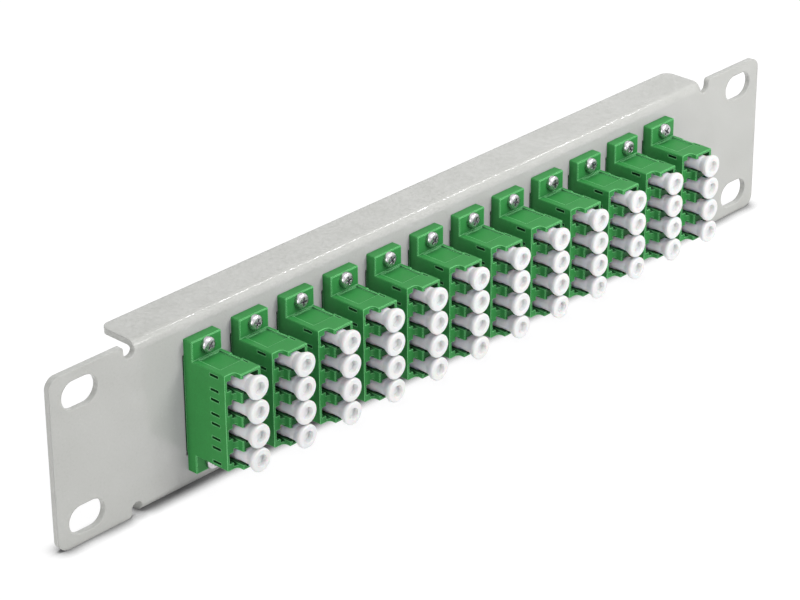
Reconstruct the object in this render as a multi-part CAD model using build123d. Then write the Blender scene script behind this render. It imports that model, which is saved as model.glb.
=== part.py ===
"""A 10-inch, one-unit fibre patch panel with twelve four-port adapters.

Frame: X runs along the panel, the front face looks along -Y and lies in the plane
y = 0, and Z is up. The origin is the middle of the front face, which is also the
middle of the four rack slots. Lengths are in millimetres.
"""

from build123d import *
from math import cos, radians, sqrt
import os

# Folded sheet panel
panel_width = 254.0
panel_height = 44.0
sheet = 1.5
bend_inner_radius = 1.0
fold_depth = 11.8
fold_corner_radius = 2.5
fold_side_margin = 14.5
relief_width = 3.4
relief_past_bend = 0.9
ear_corner_radius = 3.0
ear_inner_corner_radius = 0.8

# Rack slots, at the standard spacing of a half-width rack
rack_spacing_x = 236.525
rack_spacing_z = 31.75
slot_length = 10.6
slot_width = 7.2

# Row of adapters
adapter_count = 12
adapter_gap = 5.7
cutout_side_gap = 0.4
cutout_end_gap = 0.7

# Port of an adapter, from the latch side inward
port_count = 4
port_pitch = 6.25
latch_wall = 0.65
latch_slot_depth = 1.35
latch_slot_width = 2.7
shoulder_depth = 1.0
shoulder_width = 4.6
neck_depth = 0.8
plug_room = 4.7
plug_back_gap = 0.7
back_wall = 0.9
end_wall = 0.625

# Length of the adapter, front and rear of the panel's front face
front_reach = 13.4
rear_reach = 10.5
nose_length = 2.2
nose_offset = 0.1
nose_fillet = 1.0
port_floor = 3.0
moulding_edge = 0.3
mouth_edge = 0.2

# Flange of the front half
flange_thickness = 2.9
tab_height = 4.85
screw_edge = 2.0

# Windows, recesses and key marks of the moulding, set back from the mouth
window_setback = 2.1
window_length = 2.8
window_height = 0.7
window_offset = 1.85
face_recess_setback = 3.05
face_recess_start = 3.3
face_recess_depth = 0.35
face_recess_left = 1.6
face_recess_right = 1.1
side_notch_setback = 3.65
side_notch_length = 3.55
side_notch_depth = 0.6
side_notch_height = 0.9
pocket_length = 2.0
pocket_width = 0.45
pocket_depth = 0.35
pocket_setback = 0.1
pocket_inset = 1.05
key_width = 0.9
key_depth = 0.3
key_length = 1.6

# Ceramic sleeve and the bosses that hold it
sleeve_outer_diameter = 1.62
sleeve_inner_diameter = 1.25
sleeve_length = 6.8
sleeve_slit = 0.3
sleeve_fit = 0.05
sleeve_end_play = 0.1
boss_wall = 0.6
boss_lip = 1.1
boss_bore = 1.37

# Dust cap
plug_fit = 0.05
neck_fit = 0.1
plug_end_gap = 0.9
plug_end_chamfer = 0.4
cap_neck_diameter = 4.2
cap_neck_inset = 1.0
cap_standoff = 0.7
cap_flare_length = 2.0
cap_rim_length = 0.9
cap_rim_edge = 0.45
cap_head_gap = 0.3
cap_recess_diameter = 3.1
cap_recess_depth = 1.2
cap_recess_draft = 0.2

# Screws and nuts
screw_diameter = 2.0
screw_head_diameter = 3.8
screw_head_height = 1.3
screw_head_edge = 0.7
screw_hole_gap = 0.15
screw_projection = 1.0
cross_width = 0.5
cross_span = 2.1
cross_depth = 0.7
screw_turn = 37.0
nut_across_flats = 4.0
nut_thickness = 1.6
nut_bore_gap = 0.03
nut_edge = 0.35

# Sizes that follow from the ones above
latch_zone = latch_wall + latch_slot_depth
shoulder_end = latch_zone + shoulder_depth
neck_end = shoulder_end + neck_depth
plug_radius = plug_room / 2 - plug_fit
plug_axis = shoulder_end + neck_fit + plug_radius
neck_width = 2 * (sqrt(plug_radius**2 - (plug_axis - neck_end) ** 2) + neck_fit)
room_end = plug_axis + plug_radius + plug_back_gap
adapter_width = room_end + back_wall
body_height = (port_count - 1) * port_pitch + plug_room + 2 * end_wall
flange_height = body_height + 2 * tab_height
adapter_pitch = adapter_width + adapter_gap
row_width = (adapter_count - 1) * adapter_pitch + adapter_width
fold_span = row_width + 2 * fold_side_margin
cutout_width = adapter_width + 2 * cutout_side_gap
cutout_height = body_height + 2 * cutout_end_gap
nose_start = shoulder_end + nose_offset
screw_z = flange_height / 2 - screw_edge
screw_hole_diameter = screw_diameter + 2 * screw_hole_gap
boss_diameter = sleeve_outer_diameter + 2 * (sleeve_fit + boss_wall)
boss_reach = sleeve_length / 2 + sleeve_end_play + boss_lip
cap_head_diameter = port_pitch - cap_head_gap

adapter_lefts = [adapter_pitch * i - row_width / 2 for i in range(adapter_count)]
port_heights = [port_pitch * (i - (port_count - 1) / 2) for i in range(port_count)]


def forward(sketch, start, end):
    """Extrude an X-Z sketch from y = -start to y = -end."""
    return extrude(Pos(0, -start, 0) * (Plane.XZ * sketch), amount=end - start)


def rectangle(left, right, bottom, top):
    """A rectangle in a sketch, given by its four sides."""
    return Pos((left + right) / 2, (bottom + top) / 2) * Rectangle(right - left, top - bottom)


def relief_outline(side, end):
    """The round-bottomed relief cut at one end of one fold."""
    radius = relief_width / 2
    middle = side * (fold_span / 2 + radius)
    bottom = panel_height / 2 - sheet - bend_inner_radius - relief_past_bend
    centre = bottom + radius
    straight = panel_height / 2 - centre
    slot = Pos(middle, end * (centre + straight / 2)) * Rectangle(relief_width, straight)
    return slot + Pos(middle, end * centre) * Circle(radius)


def make_panel():
    """The folded sheet: two flat ears and a web with folds along both long edges."""
    outline = RectangleRounded(panel_width, panel_height, ear_corner_radius)
    ears = outline - Rectangle(fold_span, panel_height)
    for side in (-1, 1):
        for end in (-1, 1):
            ears -= relief_outline(side, end)
    ears = forward(ears, -sheet, 0)
    inner_edges = ears.edges().filter_by(Axis.Y).filter_by(
        lambda e: abs(abs(e.center().X) - fold_span / 2 - relief_width) < 0.01
        and abs(abs(e.center().Z) - panel_height / 2) < 0.01
    )
    ears = fillet(inner_edges, ear_inner_corner_radius)

    bend_outer_radius = sheet + bend_inner_radius
    outside = Pos(fold_depth / 2, 0) * Rectangle(fold_depth, panel_height)
    outside = fillet(outside.vertices().group_by(Axis.X)[0], bend_outer_radius)
    hollow = fold_depth - sheet
    inside = Pos(sheet + hollow / 2, 0) * Rectangle(hollow, panel_height - 2 * sheet)
    inside = fillet(inside.vertices().group_by(Axis.X)[0], bend_inner_radius)
    channel = extrude(Plane.YZ * (outside - inside), amount=fold_span / 2, both=True)
    rear_corners = channel.edges().filter_by(Axis.Z).filter_by_position(
        Axis.Y, fold_depth - 0.01, fold_depth + 0.01
    )
    channel = fillet(rear_corners, fold_corner_radius)

    openings = Sketch()
    for side in (-1, 1):
        for end in (-1, 1):
            place = Pos(side * rack_spacing_x / 2, end * rack_spacing_z / 2)
            openings += place * SlotOverall(slot_length, slot_width)
    for left in adapter_lefts:
        middle = left + adapter_width / 2
        openings += Pos(middle, 0) * Rectangle(cutout_width, cutout_height)
        for end in (-1, 1):
            openings += Pos(middle, end * screw_z) * Circle(screw_hole_diameter / 2)
    return ears + channel - forward(openings, -2 * sheet, sheet)


def port_outline():
    """One port seen from the front: latch slot, shoulder, neck and plug room."""
    outline = rectangle(latch_wall, latch_zone, -latch_slot_width / 2, latch_slot_width / 2)
    outline += rectangle(latch_zone, shoulder_end, -shoulder_width / 2, shoulder_width / 2)
    outline += rectangle(shoulder_end, neck_end, -neck_width / 2, neck_width / 2)
    outline += rectangle(neck_end, room_end, -plug_room / 2, plug_room / 2)
    return outline


def four(make_sketch):
    """The same sketch at each port of an adapter."""
    result = Sketch()
    for height in port_heights:
        result += Pos(0, height) * make_sketch()
    return result


def moulding_outline(height):
    """The rounded outline of a moulding that is as wide as the adapter."""
    return Pos(adapter_width / 2, 0) * RectangleRounded(adapter_width, height, moulding_edge)


def ported_block(reach):
    """A moulded block with open ports, from y = 0 forward to the stepped mouth."""
    outline = moulding_outline(body_height)
    half = body_height / 2
    nose_outline = outline - rectangle(-adapter_width, nose_start, -half, half)
    block = forward(outline, 0, reach) + forward(nose_outline, reach, reach + nose_length)
    upright = block.edges().filter_by(Axis.Z)
    step = upright.filter_by_position(Axis.X, nose_start - 0.01, nose_start + 0.01)
    inner = step.filter_by_position(Axis.Y, -reach - 0.01, -reach + 0.01)
    block = fillet(inner, nose_fillet)
    rim = block.faces().sort_by(Axis.Y)[0].edges()
    block = chamfer(rim, mouth_edge)

    block -= forward(four(port_outline), port_floor, reach + nose_length)
    keys = Sketch()
    for height in port_heights[:-1]:
        middle = height + port_pitch / 2
        keys += rectangle(room_end - key_depth, room_end + key_depth,
                          middle - key_width / 2, middle + key_width / 2)
    block -= forward(keys, reach + nose_length - key_length, reach + nose_length)

    windows = Sketch()
    for height in port_heights:
        for side in (-1, 1):
            middle = height + side * window_offset
            windows += rectangle(-moulding_edge, latch_zone + shoulder_depth / 2,
                                 middle - window_height / 2, middle + window_height / 2)
    window_front = reach - window_setback
    block -= forward(windows, window_front - window_length, window_front)

    recess_front = reach - face_recess_setback
    notch_front = reach - side_notch_setback
    pocket_rear = recess_front + pocket_setback
    for end in (-1, 1):
        face = end * half
        recess = rectangle(face_recess_left, adapter_width - face_recess_right,
                           face - face_recess_depth, face + face_recess_depth)
        block -= forward(recess, face_recess_start, recess_front)
        notch = rectangle(adapter_width - side_notch_depth, adapter_width + side_notch_depth,
                          face - side_notch_height, face + side_notch_height)
        block -= forward(notch, notch_front - side_notch_length, notch_front)
        pocket = rectangle(adapter_width - pocket_inset, adapter_width - pocket_inset + pocket_width,
                           face - pocket_depth, face + pocket_depth)
        block -= forward(pocket, pocket_rear, pocket_rear + pocket_length)
    return add_bosses(block)


def add_bosses(block):
    """Add the sleeve bosses on the port floors and bore them through."""
    def ring():
        return Pos(plug_axis, 0) * Circle(boss_diameter / 2)

    def pocket():
        return Pos(plug_axis, 0) * Circle(sleeve_outer_diameter / 2 + sleeve_fit)

    def bore():
        return Pos(plug_axis, 0) * Circle(boss_bore / 2)

    block += forward(four(ring), port_floor / 2, boss_reach)
    block -= forward(four(bore), 0, boss_reach)
    return block - forward(four(pocket), 0, sleeve_length / 2 + sleeve_end_play)


def make_front_half():
    """The front housing half: ported block and the flange with its screw tabs."""
    flange = forward(moulding_outline(flange_height), 0, flange_thickness)
    rim = flange.faces().sort_by(Axis.Y)[0].edges()
    flange = chamfer(rim, mouth_edge)
    holes = Sketch()
    for end in (-1, 1):
        holes += Pos(adapter_width / 2, end * screw_z) * Circle(screw_hole_diameter / 2)
    half = body_height / 2 - end_wall
    clear = rectangle(latch_wall, room_end, -half, half)
    flange -= forward(holes + clear, 0, flange_thickness)
    return ported_block(front_reach) + flange


def make_rear_half():
    """The rear housing half, which reaches back through the panel's cutout."""
    return mirror(ported_block(rear_reach), about=Plane.XZ)


def make_cap(reach):
    """One dust cap on the port axis: plug, neck, flare and dished head."""
    mouth = reach + nose_length
    inner_end = boss_reach + plug_end_gap
    plug_end = reach - cap_neck_inset
    neck = cap_neck_diameter / 2
    flare_start = mouth + cap_standoff
    rim_start = flare_start + cap_flare_length
    front = rim_start + cap_rim_length
    head = cap_head_diameter / 2
    dish = cap_recess_diameter / 2
    profile = Polyline(
        (0, inner_end),
        (plug_radius - plug_end_chamfer, inner_end),
        (plug_radius, inner_end + plug_end_chamfer),
        (plug_radius, plug_end),
        (neck, reach),
        (neck, flare_start),
        (head, rim_start),
        (head, front),
        (dish, front),
        (dish - cap_recess_draft, front - cap_recess_depth),
        (0, front - cap_recess_depth),
        close=True,
    )
    section = make_face(profile)
    rim = section.vertices().group_by(Axis.X)[-1].sort_by(Axis.Y)[-1]
    cap = revolve(fillet(rim, cap_rim_edge), Axis.Y)
    return Pos(plug_axis, 0, 0) * mirror(cap, about=Plane.XZ)


def make_cap_set(reach):
    """The caps of the four ports on one side of an adapter."""
    cap = make_cap(reach)
    return [Pos(0, 0, height) * cap for height in port_heights]


def make_sleeve():
    """A ceramic alignment sleeve with its lengthwise slit."""
    ring = Circle(sleeve_outer_diameter / 2) - Circle(sleeve_inner_diameter / 2)
    ring -= Pos(sleeve_outer_diameter / 2, 0) * Rectangle(sleeve_outer_diameter, sleeve_slit)
    return forward(ring, -sleeve_length / 2, sleeve_length / 2)


def make_screw():
    """A pan-head screw with a cross recess, its head seated on the flange."""
    seat = flange_thickness
    top = seat + screw_head_height
    head = forward(Circle(screw_head_diameter / 2), seat, top)
    head = fillet(head.faces().sort_by(Axis.Y)[0].edges(), screw_head_edge)
    cross = Rectangle(cross_width, cross_span) + Rectangle(cross_span, cross_width)
    head -= forward(cross, top - cross_depth, top)
    tip = sheet + nut_thickness + screw_projection
    return head + forward(Circle(screw_diameter / 2), -tip, seat)


def make_nut():
    """A hexagon nut seated on the rear of the sheet, its rear corners turned off."""
    corner_radius = nut_across_flats / 2 / cos(radians(30))
    rear = sheet + nut_thickness
    outline = RegularPolygon(corner_radius, 6) - Circle(screw_diameter / 2 + nut_bore_gap)
    turned = forward(Circle(corner_radius), -rear, -sheet)
    turned = chamfer(turned.faces().sort_by(Axis.Y)[-1].edges(), nut_edge / 2, nut_edge)
    return forward(outline, -rear, -sheet) & turned


def save(name, solids):
    """Write one node; a node of several solids is a compound."""
    shape = solids[0] if len(solids) == 1 else Compound(solids)
    export_step(shape, f"parts/{name}.step")


def copies(solids, places):
    """Every solid at every place."""
    return [place * solid for place in places for solid in solids]


os.makedirs("parts", exist_ok=True)

front_half = make_front_half()
rear_half = make_rear_half()
front_caps = make_cap_set(front_reach)
rear_caps = [mirror(cap, about=Plane.XZ) for cap in make_cap_set(rear_reach)]

save("panel", [make_panel()])
for number, left in enumerate(adapter_lefts, start=1):
    place = Pos(left, 0, 0)
    save(f"adapter_front_{number:02d}", [place * front_half])
    save(f"adapter_rear_{number:02d}", [place * rear_half])
    save(f"front_caps_{number:02d}", copies(front_caps, [place]))
    save(f"rear_caps_{number:02d}", copies(rear_caps, [place]))

port_places = [Pos(left + plug_axis, 0, height) for left in adapter_lefts for height in port_heights]
save("alignment_sleeves", copies([make_sleeve()], port_places))
screw_places = [
    Pos(left + adapter_width / 2, 0, end * screw_z) for left in adapter_lefts for end in (-1, 1)
]
driven = [place * Rot(0, screw_turn * i, 0) for i, place in enumerate(screw_places)]
save("flange_screws", copies([make_screw()], driven))
save("screw_nuts", copies([make_nut()], screw_places))
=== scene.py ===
# %% [markdown]
# # Dressing a fibre patch panel
#
# The construction comes from the frame: a folded sheet, twelve adapters in two halves,
# screws, nuts and dust caps, each at its real size. This script never moves or reshapes
# those solids. It gives each of them the finish that the real piece has, with shade
# painted into its hollows, shades sharp edges as if they were a little rounded and
# paints a thin highlight on them, winds the threads on the screws, and sets up the
# camera and the light of a plain product picture. Lengths are in metres.

# %% Load the frame
from math import cos, pi, radians, sin

import bpy
from mathutils import Matrix, Vector


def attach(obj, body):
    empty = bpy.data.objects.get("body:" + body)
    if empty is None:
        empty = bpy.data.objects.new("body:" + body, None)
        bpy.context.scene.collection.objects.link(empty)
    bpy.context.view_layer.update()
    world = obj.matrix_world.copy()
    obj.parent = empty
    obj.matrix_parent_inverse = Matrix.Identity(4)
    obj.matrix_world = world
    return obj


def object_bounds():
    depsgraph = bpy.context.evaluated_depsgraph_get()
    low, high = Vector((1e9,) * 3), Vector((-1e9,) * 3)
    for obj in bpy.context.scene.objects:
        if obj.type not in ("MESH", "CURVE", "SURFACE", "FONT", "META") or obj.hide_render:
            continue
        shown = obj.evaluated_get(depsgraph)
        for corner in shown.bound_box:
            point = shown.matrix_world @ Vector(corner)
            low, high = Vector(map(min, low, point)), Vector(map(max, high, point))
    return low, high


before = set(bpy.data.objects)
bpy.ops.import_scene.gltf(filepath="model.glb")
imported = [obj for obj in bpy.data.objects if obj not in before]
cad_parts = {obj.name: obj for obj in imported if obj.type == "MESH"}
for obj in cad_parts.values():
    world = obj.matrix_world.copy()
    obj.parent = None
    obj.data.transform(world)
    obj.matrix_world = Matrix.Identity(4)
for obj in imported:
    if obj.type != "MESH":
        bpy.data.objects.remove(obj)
cad_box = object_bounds()
MM = 0.001

# %% [markdown]
# ## Camera
#
# The picture is taken with a long lens from the left, looking down on the panel at
# about 27 degrees, so parallel edges stay nearly parallel. The camera stands where a
# real one would have stood: its place, its direction and a slight roll are given, and
# the three columns of its matrix are built from them. Blender's camera looks along its
# own -Z, with +Y up, so the third column is the opposite of the viewing direction.

# %% Camera
camera_place = Vector((-490.43, -451.00, 329.98)) * MM
view_direction = Vector((0.64987, 0.61502, -0.44657)).normalized()
camera_roll = radians(-0.39)
sensor_width_mm = 36.0
focal_length_mm = 134.75
lens_shift = (-0.0057, -0.0117)
nearest, farthest = 0.01, 20.0

level_right = view_direction.cross(Vector((0, 0, 1))).normalized()
level_up = level_right.cross(view_direction)
right = cos(camera_roll) * level_right + sin(camera_roll) * level_up
up = cos(camera_roll) * level_up - sin(camera_roll) * level_right

camera_data = bpy.data.cameras.new("camera")
camera_data.sensor_width = sensor_width_mm
camera_data.lens = focal_length_mm
camera_data.shift_x, camera_data.shift_y = lens_shift
camera_data.clip_start = nearest
camera_data.clip_end = farthest
camera = bpy.data.objects.new("camera", camera_data)
axes = Matrix((right, up, -view_direction)).transposed()
camera.matrix_world = Matrix.Translation(camera_place) @ axes.to_4x4()
bpy.context.scene.collection.objects.link(camera)
bpy.context.scene.camera = camera
bpy.context.scene.view_settings.view_transform = "Standard"
print("camera", round(camera_place.length, 3), "m from the middle of the panel")

# %% [markdown]
# ## Floor and background
#
# A product picture has a white ground that still takes a shadow. If the floor were
# made white with more lamps, the white caps would burn out. So the floor's material
# asks what kind of ray meets it: to the camera, and to reflections, it is mostly a plain
# white glow, mixed with a little ordinary diffuse white to keep the panel's shadow. An
# ambient occlusion node dims the glow within a few millimetres of anything that stands
# on the floor, which paints a thin dark contact shadow into the glow. To every other ray
# the floor is plain white paper that bounces light up under the adapters. The world
# behind it is white in the same way, and a soft grey light to everything else.

# %% Helpers for node trees
def link(tree, output, target):
    """Join an output socket to an input socket."""
    tree.links.new(output, target)


def feed(tree, value, target):
    """Give an input socket a fixed value, or an output socket to follow."""
    if isinstance(value, bpy.types.NodeSocket):
        link(tree, value, target)
    else:
        target.default_value = value


def calculate(tree, operation, first, second):
    """The output of a Math node on two values, each a number or an output."""
    node = tree.nodes.new("ShaderNodeMath")
    node.operation = operation
    feed(tree, first, node.inputs[0])
    feed(tree, second, node.inputs[1])
    return node.outputs[0]


def map_range(tree, source, source_range, target_range=(0.0, 1.0)):
    """A Map Range node that takes an output from one range to another."""
    node = tree.nodes.new("ShaderNodeMapRange")
    node.inputs["From Min"].default_value, node.inputs["From Max"].default_value = source_range
    node.inputs["To Min"].default_value, node.inputs["To Max"].default_value = target_range
    link(tree, source, node.inputs["Value"])
    return node


def seen_directly(tree):
    """1 where a camera, glossy or transmission ray meets the surface, otherwise 0."""
    path = tree.nodes.new("ShaderNodeLightPath")
    seen = calculate(tree, "MAXIMUM", path.outputs["Is Camera Ray"],
                     path.outputs["Is Glossy Ray"])
    return calculate(tree, "MAXIMUM", seen, path.outputs["Is Transmission Ray"])


# %% Floor
floor_level = cad_box[0][2]
floor_half = 2.5
paper_white = (0.86, 0.86, 0.86, 1)
glow_share = 0.82
glow_strength = 1.12
# Painted contact shadow: the glow's strength right at the contact, and how far the dimming
# reaches.
painted_shadow_strength = 0.05
painted_shadow_reach = 4.5 * MM
painted_shadow_openness = (0.5, 0.95)  # ambient occlusion along the contact and on open floor
painted_shadow_samples = 12


def make_floor_material():
    """White paper that glows to the camera and keeps a shadow, with a contact shadow painted
    into its glow.
    """
    material = bpy.data.materials.new("floor_paper")
    material.use_nodes = True
    tree = material.node_tree
    tree.nodes.clear()
    output = tree.nodes.new("ShaderNodeOutputMaterial")
    paper = tree.nodes.new("ShaderNodeBsdfDiffuse")
    paper.inputs["Color"].default_value = paper_white
    contact = tree.nodes.new("ShaderNodeAmbientOcclusion")
    contact.samples = painted_shadow_samples
    contact.inputs["Distance"].default_value = painted_shadow_reach
    painted_shadow_dimming = map_range(tree, contact.outputs["AO"], painted_shadow_openness,
                        (painted_shadow_strength, glow_strength))
    glow = tree.nodes.new("ShaderNodeEmission")
    link(tree, painted_shadow_dimming.outputs["Result"], glow.inputs["Strength"])
    share = calculate(tree, "MULTIPLY", seen_directly(tree), glow_share)
    mix = tree.nodes.new("ShaderNodeMixShader")
    link(tree, share, mix.inputs["Fac"])
    link(tree, paper.outputs[0], mix.inputs[1])
    link(tree, glow.outputs[0], mix.inputs[2])
    link(tree, mix.outputs[0], output.inputs["Surface"])
    return material


corners = [(-floor_half, -floor_half), (floor_half, -floor_half),
           (floor_half, floor_half), (-floor_half, floor_half)]
floor_mesh = bpy.data.meshes.new("floor")
floor_mesh.from_pydata([(x, y, floor_level) for x, y in corners], [], [(0, 1, 2, 3)])
floor_mesh.materials.append(make_floor_material())
floor = bpy.data.objects.new("floor", floor_mesh)
bpy.context.scene.collection.objects.link(floor)
print("floor at z =", round(floor_level, 4))

# %% World
ambient_colour = (0.98, 0.99, 1.0, 1)
ambient_strength = 0.36

world = bpy.data.worlds.new("studio")
bpy.context.scene.world = world
world.use_nodes = True
tree = world.node_tree
tree.nodes.clear()
output = tree.nodes.new("ShaderNodeOutputWorld")
ambient = tree.nodes.new("ShaderNodeBackground")
ambient.inputs["Color"].default_value = ambient_colour
ambient.inputs["Strength"].default_value = ambient_strength
white = tree.nodes.new("ShaderNodeBackground")
white.inputs["Color"].default_value = (1, 1, 1, 1)
white.inputs["Strength"].default_value = 1.0
mix = tree.nodes.new("ShaderNodeMixShader")
link(tree, seen_directly(tree), mix.inputs["Fac"])
link(tree, ambient.outputs[0], mix.inputs[1])
link(tree, white.outputs[0], mix.inputs[2])
link(tree, mix.outputs[0], output.inputs["Surface"])

# %% [markdown]
# ## Lamps
#
# Five soft boxes light the panel, as in a small studio. The key light stands close in
# front and above, so the middle of the sheet is a little brighter than its left ear. The
# large one overhead makes the top faces of the adapters the brightest. One stands far to
# the left: it lights the flank of the first adapter and leaves the gaps between the
# others dark. One stands low behind the panel and only serves views of the rear. The last
# is a narrow strip high to the right, parallel to the panel. A long bend only mirrors a
# long lamp, and so its reflection runs along the bend of the sheet as a thin bright line.
# An area lamp shines along its own -Z, so each one is turned by the direction from its
# place to the point it is aimed at.

# %% Lamps
def soft_box(name, place, size, watts, aim=(0, 0, 0), width=None):
    """An area lamp turned towards its aim: a square, or a strip where it has a width."""
    data = bpy.data.lights.new(name, "AREA")
    data.shape = "RECTANGLE" if width else "SQUARE"
    data.size = size
    if width:
        data.size_y = width
    data.energy = watts
    lamp = bpy.data.objects.new(name, data)
    lamp.location = place
    direction = Vector(aim) - Vector(place)
    lamp.rotation_euler = direction.to_track_quat("-Z", "Y").to_euler()
    bpy.context.scene.collection.objects.link(lamp)


soft_box("key_box", (0.07, -0.30, 0.26), 0.18, 0.86)
soft_box("overhead_box", (-0.10, -0.15, 0.90), 0.70, 1.7)
soft_box("left_box", (-1.05, -0.20, 0.22), 0.40, 2.5)
soft_box("back_box", (0.05, 0.60, 0.10), 0.40, 1.1)
soft_box("edge_strip", (0.505, -0.15, 0.58), 0.36, 1.2, aim=(0.505, 0, 0), width=0.03)

# %% [markdown]
# ## Shared effects
#
# Three effects turn up in every finish here, so each is a node group that is built
# once. *Rounded edges* looks a short way along the surface, as Blender's Bevel node
# does, and gives back a softened normal and a mask that is bright on edges, where the
# finishes paint a thin highlight: moulded plastic and painted metal never have a truly
# sharp edge, and that thin line of light is what tells the eye so. *Fine grain* is a
# noise in the object's own coordinates, with its scale in grains per metre, and gives a
# height for bumps and a mottle for colour. *Painted hollow shade* feels for walls close
# by, and gives a mask for the depth of a port, a window or a dish, where the finishes
# paint the shade that falls there.

# %% Group helper
feeler_samples = 6
noise_detail = 3.0


def new_group(name, inputs, outputs):
    """An empty node group with named float or vector sockets."""
    group = bpy.data.node_groups.new(name, "ShaderNodeTree")
    for socket, kind in inputs:
        group.interface.new_socket(socket, in_out="INPUT", socket_type=kind)
    for socket, kind in outputs:
        group.interface.new_socket(socket, in_out="OUTPUT", socket_type=kind)
    entry = group.nodes.new("NodeGroupInput")
    leave = group.nodes.new("NodeGroupOutput")
    return group, entry, leave


# %% Rounded edges
edge_likeness = (0.998, 0.91)  # of the true and softened normal: mask at 0 and at 1


def make_rounded_edges():
    """Softened normal and edge mask, from the radius of the edge in metres."""
    group, entry, leave = new_group(
        "rounded_edges",
        [("Radius", "NodeSocketFloat")],
        [("Normal", "NodeSocketVector"), ("Edge", "NodeSocketFloat")],
    )
    bevel = group.nodes.new("ShaderNodeBevel")
    bevel.samples = feeler_samples
    link(group, entry.outputs["Radius"], bevel.inputs["Radius"])
    surface = group.nodes.new("ShaderNodeNewGeometry")
    likeness = group.nodes.new("ShaderNodeVectorMath")
    likeness.operation = "DOT_PRODUCT"
    link(group, bevel.outputs["Normal"], likeness.inputs[0])
    link(group, surface.outputs["Normal"], likeness.inputs[1])
    mask = map_range(group, likeness.outputs["Value"], edge_likeness)
    mask.interpolation_type = "SMOOTHSTEP"
    link(group, bevel.outputs["Normal"], leave.inputs["Normal"])
    link(group, mask.outputs["Result"], leave.inputs["Edge"])
    return group


# %% Fine grain
cloud_scale_share = 0.06
grain_share = 0.75


def make_fine_grain():
    """Height and mottle of a fine-grained surface, from its scale per metre."""
    group, entry, leave = new_group(
        "fine_grain",
        [("Scale", "NodeSocketFloat"), ("Detail", "NodeSocketFloat")],
        [("Height", "NodeSocketFloat"), ("Mottle", "NodeSocketFloat")],
    )
    place = group.nodes.new("ShaderNodeTexCoord")
    grain = group.nodes.new("ShaderNodeTexNoise")
    link(group, place.outputs["Object"], grain.inputs["Vector"])
    link(group, entry.outputs["Scale"], grain.inputs["Scale"])
    link(group, entry.outputs["Detail"], grain.inputs["Detail"])
    cloud_scale = calculate(group, "MULTIPLY", entry.outputs["Scale"], cloud_scale_share)
    cloud = group.nodes.new("ShaderNodeTexNoise")
    cloud.inputs["Detail"].default_value = noise_detail
    link(group, place.outputs["Object"], cloud.inputs["Vector"])
    link(group, cloud_scale, cloud.inputs["Scale"])
    blend = group.nodes.new("ShaderNodeMix")
    blend.data_type = "FLOAT"
    blend.inputs["Factor"].default_value = grain_share
    link(group, cloud.outputs["Fac"], blend.inputs["A"])
    link(group, grain.outputs["Fac"], blend.inputs["B"])
    link(group, grain.outputs["Fac"], leave.inputs["Height"])
    link(group, blend.outputs["Result"], leave.inputs["Mottle"])
    return group


# %% Painted shade in hollows
open_enough = 0.72  # ambient occlusion from which on a spot is out in the open


def make_painted_hollow_shade():
    """Mask for painting shade into narrow hollows, from their reach in metres and deepest
    openness.
    """
    group, entry, leave = new_group(
        "painted_hollow_shade",
        [("Reach", "NodeSocketFloat"), ("Deepest", "NodeSocketFloat")],
        [("Shade", "NodeSocketFloat")],
    )
    openness = group.nodes.new("ShaderNodeAmbientOcclusion")
    openness.samples = feeler_samples
    link(group, entry.outputs["Reach"], openness.inputs["Distance"])
    mask = map_range(group, openness.outputs["AO"], (open_enough, 1.0))
    # The group's own input takes the place of the range's second end.
    link(group, entry.outputs["Deepest"], mask.inputs["From Max"])
    link(group, mask.outputs["Result"], leave.inputs["Shade"])
    return group


rounded_edges = make_rounded_edges()
fine_grain = make_fine_grain()
painted_hollow_shade = make_painted_hollow_shade()
print("groups:", rounded_edges.name, fine_grain.name, painted_hollow_shade.name)

# %% [markdown]
# ## From groups to a finish
#
# Every finish here is one Principled shader with the same wiring around it: the mottle
# shifts the colour a little and the roughness a little more, the edge mask paints a thin
# highlight on the edges, the shade mask paints shade into the hollows, and the grain
# height becomes a bump on top of the softened normal. A paint also has a clear skin,
# thick in some spots and thin in others, and the same mottle sets how much of it there
# is. Only what changes over the surface goes through nodes. What is the same all over,
# such as metalness or the roughness of the skin, is set on the shader's own sockets.

# %% A finish from its values
mottle_range = (0.3, 0.7)  # noise mostly keeps to the middle
speckle_range = (0.44, 0.56)  # a narrower range gives clear spots


def place_group(tree, group, **values):
    """Put a group in a material and set its inputs by name."""
    node = tree.nodes.new("ShaderNodeGroup")
    node.node_tree = group
    for socket, value in values.items():
        node.inputs[socket].default_value = value
    return node


def mix_colour(tree, factor, first, second):
    """Mix two colours by a factor output; the first can be an output too."""
    mix = tree.nodes.new("ShaderNodeMix")
    mix.data_type = "RGBA"
    link(tree, factor, mix.inputs["Factor"])
    # A Mix node has sockets for every kind of value: its colours are 6, 7 and output 2.
    if not isinstance(first, bpy.types.NodeSocket):
        first = (*first, 1)
    feed(tree, first, mix.inputs[6])
    feed(tree, (*second, 1), mix.inputs[7])
    return mix.outputs[2]


def spread(tree, source, target_range, source_range=mottle_range):
    """Spread a mask from the range that it mostly keeps to over another range."""
    return map_range(tree, source, source_range, target_range).outputs["Result"]


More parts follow.
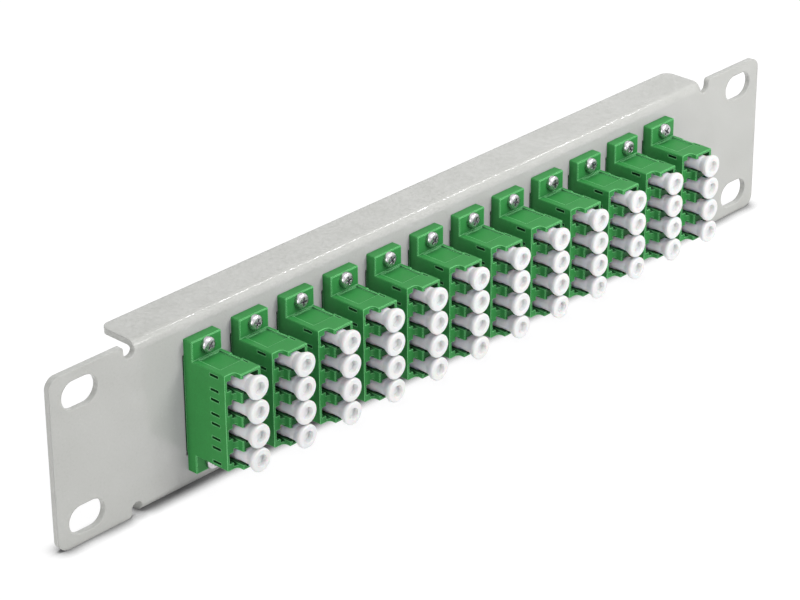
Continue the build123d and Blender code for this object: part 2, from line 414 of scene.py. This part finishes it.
def make_finish(name, dark, light, edge_highlight, hollow_shade_colour, roughness, grain_scale, grain_height,
                edge_radius, edge_highlight_share=1.0, shade_reach=1.5 * MM, deepest=0.28, bump=0.5,
                coat=None, **sockets):
    """A Principled material with mottle, painted highlights on edges, painted shade in hollows
    and a fine bump.

    Roughness and coat are ranges, from the darkest to the lightest spots of the mottle.
    What is left over goes to the shader's sockets, with _ for each space in a name.
    """
    material = bpy.data.materials.new(name)
    material.use_nodes = True
    tree = material.node_tree
    shader = tree.nodes["Principled BSDF"]
    grain = place_group(tree, fine_grain, Scale=grain_scale, Detail=noise_detail)
    edges = place_group(tree, rounded_edges, Radius=edge_radius)
    mottle = spread(tree, grain.outputs["Mottle"], (0.0, 1.0))
    body = mix_colour(tree, mottle, dark, light)
    # Painted highlight: the edge colour is mixed in where the edge mask is bright.
    edge_highlight_factor = calculate(tree, "MULTIPLY", edges.outputs["Edge"], edge_highlight_share)
    edge_highlit = mix_colour(tree, edge_highlight_factor, body, edge_highlight)
    # Painted shade: the hollow colour is mixed in where ambient occlusion finds walls close
    # by.
    hollow_shade = place_group(tree, painted_hollow_shade, Reach=shade_reach, Deepest=deepest)
    colour = mix_colour(tree, hollow_shade.outputs["Shade"], edge_highlit, hollow_shade_colour)
    link(tree, colour, shader.inputs["Base Color"])
    gloss = spread(tree, grain.outputs["Mottle"], roughness)
    link(tree, gloss, shader.inputs["Roughness"])
    relief = tree.nodes.new("ShaderNodeBump")
    relief.inputs["Strength"].default_value = bump
    relief.inputs["Distance"].default_value = grain_height
    link(tree, grain.outputs["Height"], relief.inputs["Height"])
    link(tree, edges.outputs["Normal"], relief.inputs["Normal"])
    link(tree, relief.outputs["Normal"], shader.inputs["Normal"])
    if coat:
        speckle = spread(tree, grain.outputs["Mottle"], coat, speckle_range)
        link(tree, speckle, shader.inputs["Coat Weight"])
    for socket, value in sockets.items():
        shader.inputs[socket.replace("_", " ")].default_value = value
    return material


# %% [markdown]
# ## The five finishes
#
# The sheet is powder coated in a warm light grey: the powder melts into a fine orange
# peel with a spotty gloss, which breaks up the line of light along the bend. The
# adapters are moulded in a satin green plastic. The caps are a soft white plastic that
# lets a little light through, which subsurface scattering gives. The screws and nuts
# are bright nickel, and the sleeves deep in the ports are polished ceramic.

# %% Materials
# In each finish below, the edge colour is a painted highlight and the hollow colour is painted
# shade.
panel_paint = make_finish(
    "panel_paint",
    dark=(0.470, 0.474, 0.448), light=(0.570, 0.570, 0.545), edge_highlight=(0.63, 0.63, 0.60),
    hollow_shade_colour=(0.40, 0.40, 0.39), roughness=(0.30, 0.46), grain_scale=1700.0,
    grain_height=0.08 * MM, edge_radius=0.6 * MM, edge_highlight_share=0.6, bump=0.30,
    coat=(0.10, 1.0), Specular_IOR_Level=0.25, Coat_Roughness=0.10,
)
adapter_green = make_finish(
    "adapter_green",
    dark=(0.030, 0.242, 0.050), light=(0.040, 0.298, 0.065), edge_highlight=(0.25, 0.80, 0.31),
    hollow_shade_colour=(0.006, 0.075, 0.016), roughness=(0.38, 0.50), grain_scale=2600.0,
    grain_height=0.02 * MM, edge_radius=0.36 * MM, shade_reach=3.0 * MM,
    bump=0.25, Specular_IOR_Level=0.28,
)
cap_white = make_finish(
    "cap_white",
    dark=(0.80, 0.805, 0.80), light=(0.835, 0.84, 0.835), edge_highlight=(0.88, 0.88, 0.88),
    hollow_shade_colour=(0.75, 0.75, 0.75), roughness=(0.36, 0.44), grain_scale=2000.0,
    grain_height=0.01 * MM, edge_radius=0.16 * MM, edge_highlight_share=0.5, shade_reach=2.0 * MM,
    deepest=0.55, bump=0.15, Subsurface_Weight=0.20, Subsurface_Scale=0.8 * MM,
)
screw_nickel = make_finish(
    "screw_nickel",
    dark=(0.52, 0.50, 0.53), light=(0.66, 0.645, 0.67), edge_highlight=(0.85, 0.85, 0.86),
    hollow_shade_colour=(0.36, 0.34, 0.37), roughness=(0.20, 0.34), grain_scale=5200.0,
    grain_height=0.01 * MM, edge_radius=0.10 * MM, edge_highlight_share=0.4, bump=0.3, Metallic=1.0,
)
sleeve_ceramic = make_finish(
    "sleeve_ceramic",
    dark=(0.80, 0.79, 0.75), light=(0.86, 0.85, 0.81), edge_highlight=(0.90, 0.90, 0.87),
    hollow_shade_colour=(0.55, 0.54, 0.50), roughness=(0.12, 0.20), grain_scale=3000.0,
    grain_height=0.005 * MM, edge_radius=0.05 * MM, edge_highlight_share=0.3, bump=0.1,
)

# %% [markdown]
# ## Colour thrown on the neighbours
#
# A strong green throws so much green light on the grey sheet beside it that the sheet
# looks dirty. Product photographers damp it with small cards. Here the green material
# asks whether it is met by a diffuse ray, which is a ray that gathers light for another
# surface, and answers that ray mostly in a grey with a touch of violet, the opposite of
# green. The camera still sees the full green.

# %% Damp the bounced green
def damp_bounce(material, neutral, share):
    """Answer diffuse rays with a neutral colour instead of the surface's own."""
    tree = material.node_tree
    shader = tree.nodes["Principled BSDF"]
    own = shader.inputs["Base Color"].links[0].from_socket
    path = tree.nodes.new("ShaderNodeLightPath")
    amount = calculate(tree, "MULTIPLY", path.outputs["Is Diffuse Ray"], share)
    link(tree, mix_colour(tree, amount, own, neutral), shader.inputs["Base Color"])


damp_bounce(adapter_green, neutral=(0.58, 0.54, 0.68), share=0.82)

# %% Put each finish on its nodes
finish_of = {
    "panel": panel_paint,
    "adapter": adapter_green,
    "front": cap_white,
    "rear": cap_white,
    "alignment": sleeve_ceramic,
    "flange": screw_nickel,
    "screw": screw_nickel,
}
dressed = {}
for name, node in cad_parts.items():
    finish = finish_of[name.split("_")[0]]
    for material_slot in node.material_slots:
        material_slot.material = finish
    dressed[finish.name] = dressed.get(finish.name, 0) + 1
print("dressed:", dressed)

# %% [markdown]
# ## Threads on the screw tips
#
# The screws of the frame are plain cylinders. Behind each nut a millimetre of the screw
# is in sight, so a fine helical ridge is wound on it at the real pitch of an M2 thread.
# The ridge is a closed band with a triangular section: its two feet are sunk a little
# into the screw, and its crest stands just proud of it. It makes one turn, moves with
# the adapters' body and shares the screws' finish.

# %% A helical ridge
thread_pitch = 0.4 * MM
thread_start = 3.15 * MM
thread_end = 3.95 * MM
thread_foot = 0.97 * MM
thread_crest = 1.05 * MM
ridge_section = ((thread_foot, 0.1), (thread_crest, 0.5), (thread_foot, 0.9))
steps_per_turn = 24
screw_pitch = 15.0 * MM
screw_count = 12
screw_height = 15.2 * MM


def wind_ridge(middle_x, middle_z, vertices, faces):
    """Add one ridge around a screw axis that runs along Y.

    Its section is given as radii and places along Y, in shares of the pitch.
    """
    first = len(vertices)
    turns = (thread_end - thread_start - thread_pitch) / thread_pitch
    steps = round(turns * steps_per_turn)
    for step in range(steps + 1):
        angle = 2 * pi * step / steps_per_turn
        rear = thread_start + thread_pitch * step / steps_per_turn
        for radius, offset in ridge_section:
            vertices.append((middle_x + radius * cos(angle), rear + offset * thread_pitch,
                             middle_z + radius * sin(angle)))
    for step in range(steps):
        low = first + 3 * step
        for here, there in ((0, 1), (1, 2), (2, 0)):
            faces.append((low + here, low + there, low + 3 + there, low + 3 + here))
    faces.append((first + 2, first + 1, first))
    faces.append((first + 3 * steps, first + 3 * steps + 1, first + 3 * steps + 2))


# %% Wind all the threads
thread_vertices = []
thread_faces = []
for number in range(screw_count):
    screw_x = screw_pitch * (number - (screw_count - 1) / 2)
    for end in (-1, 1):
        wind_ridge(screw_x, end * screw_height, thread_vertices, thread_faces)
thread_mesh = bpy.data.meshes.new("screw_threads")
thread_mesh.from_pydata(thread_vertices, [], thread_faces)
thread_mesh.materials.append(screw_nickel)
thread_mesh.shade_smooth()
threads = bpy.data.objects.new("screw_threads", thread_mesh)
bpy.context.scene.collection.objects.link(threads)
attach(threads, "panel_and_adapters")
print("thread faces:", len(thread_faces))
